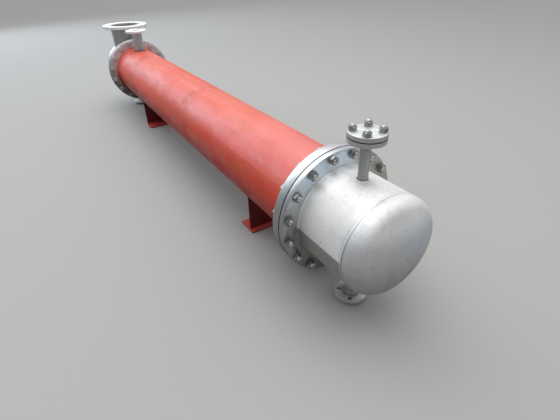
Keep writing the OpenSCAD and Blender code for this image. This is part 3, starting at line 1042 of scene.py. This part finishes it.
def place_bolts(name, model, places):
    """Copies of one bolt, joined as one piece. Each place is a matrix."""
    rows = []
    for matrix in places:
        copy = shown(model.data.copy(), "bolt")
        copy.data.transform(matrix)
        rows.append(copy)
    bpy.data.objects.remove(model)
    made = join(rows, name)
    smooth(made, 22)
    return finish_piece(made, name, BOLT)


def bolt_angle(i, count):
    """Angle of a bolt on a circle whose first pair straddles the centreline."""
    return (i + 0.5) * TURN / count


def body_bolts(end):
    """The sixteen bolts of one bonnet, nuts on the bonnet's side, each turned by chance."""
    dice = random.Random(11 + end.way)
    lean = Matrix.Rotation(math.radians(90 * end.way), 4, "Y")
    places = []
    for i in range(BODY_BOLTS):
        angle = bolt_angle(i, BODY_BOLTS)
        spot = Vector((end.flange_front, BODY_BOLT_R * math.sin(angle), AXIS + BODY_BOLT_R * math.cos(angle)))
        places.append(Matrix.Translation(spot) @ lean @ Matrix.Rotation(dice.uniform(0, TURN), 4, "Z"))
    model = bolt(M22, abs(end.flange_front - end.sheet_back))
    return place_bolts(end.name + "_body_bolts", model, places)


def vent_bolts():
    """The four bolts of the vent's blind flange, nuts up."""
    dice = random.Random(7)
    top = high("vent_blind_flange").z
    places = []
    for i in range(VENT_BOLTS):
        angle = bolt_angle(i, VENT_BOLTS)
        spot = Vector((VENT_X + VENT_BOLT_R * math.cos(angle), VENT_BOLT_R * math.sin(angle), top))
        places.append(Matrix.Translation(spot) @ Matrix.Rotation(dice.uniform(0, TURN), 4, "Z"))
    return place_bolts("vent_bolts", bolt(M16, top - low("vent_flange").z), places)


body_bolts(NEAR)
body_bolts(FAR)
vent_bolts()


# Weld beads. A bead is a radius and the length of one ripple.

# A bead centred in the corner of a fillet stands out of its slope by this
FILLET_RISE = 0.0005
# The middle of a butt weld's bead lies this deep
BUTT_SUNK = 0.0030


def in_corner(leg):
    """Radius of a bead that is centred in the corner of a fillet weld."""
    return leg * math.sqrt(0.5) + FILLET_RISE


BONNET_FLANGE_BEAD = (in_corner(BONNET_WELD_LEG), 0.0045)
SHELL_END_BEAD = (in_corner(SHELL_WELD_LEG), 0.0050)
HEAD_SEAM_BEAD = (BUTT_SUNK + 0.00025, 0.0032)
PLATE_SEAM_BEAD = (BUTT_SUNK + 0.00015, 0.0032)
GIRTH_SEAM_BEAD = (BUTT_SUNK + 0.00030, 0.0060)
SADDLE_BEAD = (0.0045, 0.0045)
LARGE_FOOT_BEAD = (0.0060, 0.0045)
SMALL_FOOT_BEAD = (0.0042, 0.0030)
SHELL_FOOT_BEAD = (0.0036, 0.0030)
# The saddle's beads stand this far off its web and base, and off the shell
SADDLE_BEAD_OUT = 0.001
SHELL_BEAD_OUT = 0.0012
# Share of the web's arc under the shell that is welded
SADDLE_ARC_SHARE = 0.985
# Points of a bead's route: round the body, round a nozzle's foot and flange, and along a straight or an arc
BODY_STEPS = 160
FOOT_STEPS = 96
LARGE_FLANGE_STEPS = 120
FLANGE_STEPS = 64
PLATE_SEAM_STEPS = 24
SADDLE_STEPS = 32
BEAD_SIDES = 8
LUMP_HEIGHT = 0.0004
LUMPS = bpy.data.textures.new("bead lumps", "CLOUDS")
LUMPS.noise_scale = 0.011


def route_of(points, closed):
    """A polyline curve through points."""
    curve = bpy.data.curves.new("route", "CURVE")
    curve.dimensions = "3D"
    spline = curve.splines.new("POLY")
    spline.points.add(len(points) - 1)
    for point, at in zip(spline.points, points):
        point.co = (*at, 1)
    spline.use_cyclic_u = closed
    return shown(curve, "route")


def bead_along(points, bead, closed=True):
    """One ripple, repeated and laid along a route of points, with a lumpy skin."""
    radius, ripple = bead
    steps = zip(points, points[1:] + points[:1] if closed else points[1:])
    length = sum((b - a).length for a, b in steps)
    count = max(2, round(length / ripple))
    pitch = length / count
    hollow = radius * 0.90
    swell = [(hollow, 0), (radius, pitch * 0.45), (radius * 0.98, pitch * 0.8), (hollow, pitch)]
    made = turned(swell, BEAD_SIDES)
    made.data.transform(Matrix.Rotation(math.radians(90), 4, "Y"))
    modified(made, "ARRAY", count=count, use_relative_offset=False, use_constant_offset=True,
             constant_offset_displace=(pitch, 0, 0), use_merge_vertices=True, merge_threshold=pitch * 0.02)
    route = route_of(points, closed)
    modified(made, "CURVE", object=route, deform_axis="POS_X")
    bpy.data.objects.remove(route)
    modified(made, "DISPLACE", texture=LUMPS, texture_coords="LOCAL", strength=LUMP_HEIGHT, mid_level=0.5)
    tidy_mesh(made, pitch * 0.05)
    smooth(made, 60)
    return made


def weld(name, points, bead, material, closed=True):
    """A bead along a route of points, as a piece."""
    return finish_piece(bead_along(points, bead, closed), name, material)


def straight(start, end, steps):
    """Points from start to end."""
    return [start + (end - start) * (i / steps) for i in range(steps + 1)]


def round_body(x, radius):
    """Points of a ring round the body's axis."""
    angles = [i * TURN / BODY_STEPS for i in range(BODY_STEPS)]
    return [Vector((x, radius * math.sin(a), AXIS + radius * math.cos(a))) for a in angles]


def round_upright(x, z, radius, steps):
    """Points of a level ring round the upright line at x."""
    angles = [i * TURN / steps for i in range(steps)]
    return [Vector((x + radius * math.cos(a), radius * math.sin(a), z)) for a in angles]


def foot_of(nozzle):
    """The curve along which a nozzle's pipe meets the round body."""
    points = []
    for i in range(FOOT_STEPS):
        along = nozzle.radius * math.cos(i * TURN / FOOT_STEPS)
        across = nozzle.radius * math.sin(i * TURN / FOOT_STEPS)
        rise = math.sqrt(nozzle.body_r ** 2 - across ** 2)
        points.append(Vector((nozzle.x + along, across, AXIS + nozzle.way * rise)))
    return points


def end_welds(end):
    """Beads of one end: bonnet flange, behind the tubesheet under its primer, head seam and plate seam."""
    plate = PLATE[end.name]
    sunk_r = BONNET_R - BUTT_SUNK
    at_flange = round_body(end.flange_front, BONNET_R)
    at_sheet = round_body(end.sheet_back, SHELL_R)
    weld(end.name + "_flange_weld", at_flange, BONNET_FLANGE_BEAD, plate)
    weld(end.name + "_shell_weld", at_sheet, SHELL_END_BEAD, SHELL_PRIMER)
    weld(end.name + "_head_seam", round_body(end.seam, sunk_r), HEAD_SEAM_BEAD, plate)
    turn = math.radians(PLATE_SEAM_ANGLE)
    side = -sunk_r * math.sin(turn)
    height = AXIS + sunk_r * math.cos(turn)
    start = Vector((end.flange_front + end.way * BONNET_WELD_LEG, side, height))
    line = straight(start, Vector((end.seam, side, height)), PLATE_SEAM_STEPS)
    weld(end.name + "_plate_seam", line, PLATE_SEAM_BEAD, plate, closed=False)


def nozzle_welds(nozzle):
    """Beads at a nozzle's foot and behind its flange."""
    large = nozzle.radius == LARGE_PIPE_R
    foot_bead = LARGE_FOOT_BEAD if large else SHELL_FOOT_BEAD if nozzle.on_shell else SMALL_FOOT_BEAD
    weld(nozzle.name + "_foot_weld", foot_of(nozzle), foot_bead, RUSTY_WELD if nozzle.on_shell else WELD)
    steps = LARGE_FLANGE_STEPS if large else FLANGE_STEPS
    ring = round_upright(nozzle.x, nozzle.flange_back, nozzle.radius, steps)
    weld(nozzle.name + "_flange_weld", ring, (in_corner(NOZZLE_WELD_LEG), foot_bead[1]), PIPE)


def saddle_welds(end):
    """Painted beads where the web meets the shell and the base."""
    web_low, web_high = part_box(end.name + "_saddle_web")
    foot_z = high(end.name + "_saddle_base").z + SADDLE_BEAD_OUT
    arc_r = SHELL_R + SHELL_BEAD_OUT
    reach = math.asin(web_high.y / SHELL_R) * SADDLE_ARC_SHARE
    angles = [reach * (2 * i / SADDLE_STEPS - 1) for i in range(SADDLE_STEPS + 1)]
    rows = []
    for x in (web_low.x - SADDLE_BEAD_OUT, web_high.x + SADDLE_BEAD_OUT):
        arc = [Vector((x, SHELL_R * math.sin(a), AXIS - arc_r * math.cos(a))) for a in angles]
        foot = straight(Vector((x, web_low.y, foot_z)), Vector((x, web_high.y, foot_z)), SADDLE_STEPS)
        rows += [bead_along(points, SADDLE_BEAD, closed=False) for points in (arc, foot)]
    name = end.name + "_saddle_welds"
    finish_piece(join(rows, name), name, SADDLE_PRIMER)


for end in (NEAR, FAR):
    end_welds(end)
    saddle_welds(end)
for nozzle in NOZZLES:
    nozzle_welds(nozzle)
for seam_name, seam_x in GIRTH_SEAMS.items():
    weld(seam_name, round_body(seam_x, SHELL_R - BUTT_SUNK), GIRTH_SEAM_BEAD, SHELL_PRIMER)


# Camera, lights and floor

# The photograph's own camera, worked out from the circles of the flanges and the outlines of the shell
SENSOR_WIDTH = 36
PHOTO_WIDTH_PIXELS = 560
FOCAL_PIXELS = 381.65
CAMERA_PLACE = Vector((2.55418, -0.86890, 1.22863))
CAMERA_HEADING = math.radians(148.809)
CAMERA_DIP = math.radians(33.128)
CAMERA_ROLL = math.radians(1.581)


def camera():
    """Stands where the photograph was taken, past the short bonnet on the -Y side."""
    level = Vector((math.cos(CAMERA_HEADING), math.sin(CAMERA_HEADING), 0))
    forward = level * math.cos(CAMERA_DIP) - Vector((0, 0, math.sin(CAMERA_DIP)))
    right = forward.cross(Vector((0, 0, 1))).normalized()
    below = forward.cross(right)
    tilted_right = right * math.cos(CAMERA_ROLL) + below * math.sin(CAMERA_ROLL)
    tilted_below = below * math.cos(CAMERA_ROLL) - right * math.sin(CAMERA_ROLL)
    data = bpy.data.cameras.new("camera")
    data.sensor_fit = "HORIZONTAL"
    data.sensor_width = SENSOR_WIDTH
    data.lens = SENSOR_WIDTH * FOCAL_PIXELS / PHOTO_WIDTH_PIXELS
    obj = shown(data, "camera")
    turn = Matrix((tilted_right, -tilted_below, -forward)).transposed()
    obj.matrix_world = Matrix.Translation(CAMERA_PLACE) @ turn.to_4x4()
    bpy.context.scene.camera = obj


def softbox(name, at, towards, size, power, colour=(1, 1, 1)):
    """A soft rectangular lamp, turned towards a spot."""
    data = bpy.data.lights.new(name, "AREA")
    data.shape = "RECTANGLE"
    data.size, data.size_y = size
    data.energy = power
    data.color = colour
    obj = shown(data, name)
    obj.location = at
    obj.rotation_euler = (Vector(towards) - Vector(at)).to_track_quat("-Z", "Y").to_euler()


# How pale the floor and the horizon look, and how much light the floor throws back
PALE = 0.38
THROWN_BACK = 0.08
FLOOR_WIDTH = 80
FLOOR_DROP = 0.0005


def seen_rays(nodes):
    """1 on the rays of the camera, of gloss and of transmission, and 0 on those that carry light."""
    camera_ray, glossy_ray, through_ray = (nodes.node("ShaderNodeLightPath", output=kind) for kind in
                                           ("Is Camera Ray", "Is Glossy Ray", "Is Transmission Ray"))
    return camera_ray.at_least(glossy_ray).at_least(through_ray)


def floor():
    """Pale to the eye and in reflections, and darker in the light that it throws back."""
    bpy.ops.mesh.primitive_plane_add(size=FLOOR_WIDTH, location=(0, 0, -FLOOR_DROP))
    made = chosen()
    made.name = "floor"
    f = Finish("floor", Roughness=0.9, Specular_IOR_Level=0.2)
    f.begin(seen_rays(f), (THROWN_BACK, THROWN_BACK, THROWN_BACK), (PALE, PALE, PALE * 0.99))
    made.data.materials.append(f.done())


def sky():
    """A plain overcast: brightest overhead, and dimmer towards the camera's side."""
    world = bpy.data.worlds.new("overcast")
    bpy.context.scene.world = world
    world.use_nodes = True
    n = Nodes(world.node_tree, "Generated")
    light = world.node_tree.nodes["Background"].inputs
    rise = n.z.at_least(0.0)
    glow = rise * 1.05 + n.y * 0.20 - n.x * 0.12 + 0.17
    n.feed(light["Color"], n.blend(rise.between(0.0, 0.6), (0.82, 0.91, 1.0), (1.0, 0.99, 0.97)))
    n.feed(light["Strength"], glow.at_least(seen_rays(n) * PALE))


camera()
floor()
sky()
softbox("overhead", (0.2, -0.3, 5.5), (0.2, 0, 0.3), (7, 5), 160)
softbox("bright sky beyond the far end", (-8.0, -0.6, 5.6), (0.3, 0, 0.4), (9.5, 5.6), 215, (0.84, 0.92, 1.0))
softbox("brighter patch low in it", (-8.5, -2.9, 3.0), (0.3, 0, 0.4), (5.2, 2.8), 130, (0.74, 0.87, 1.0))
bpy.context.scene.view_settings.view_transform = "Standard"
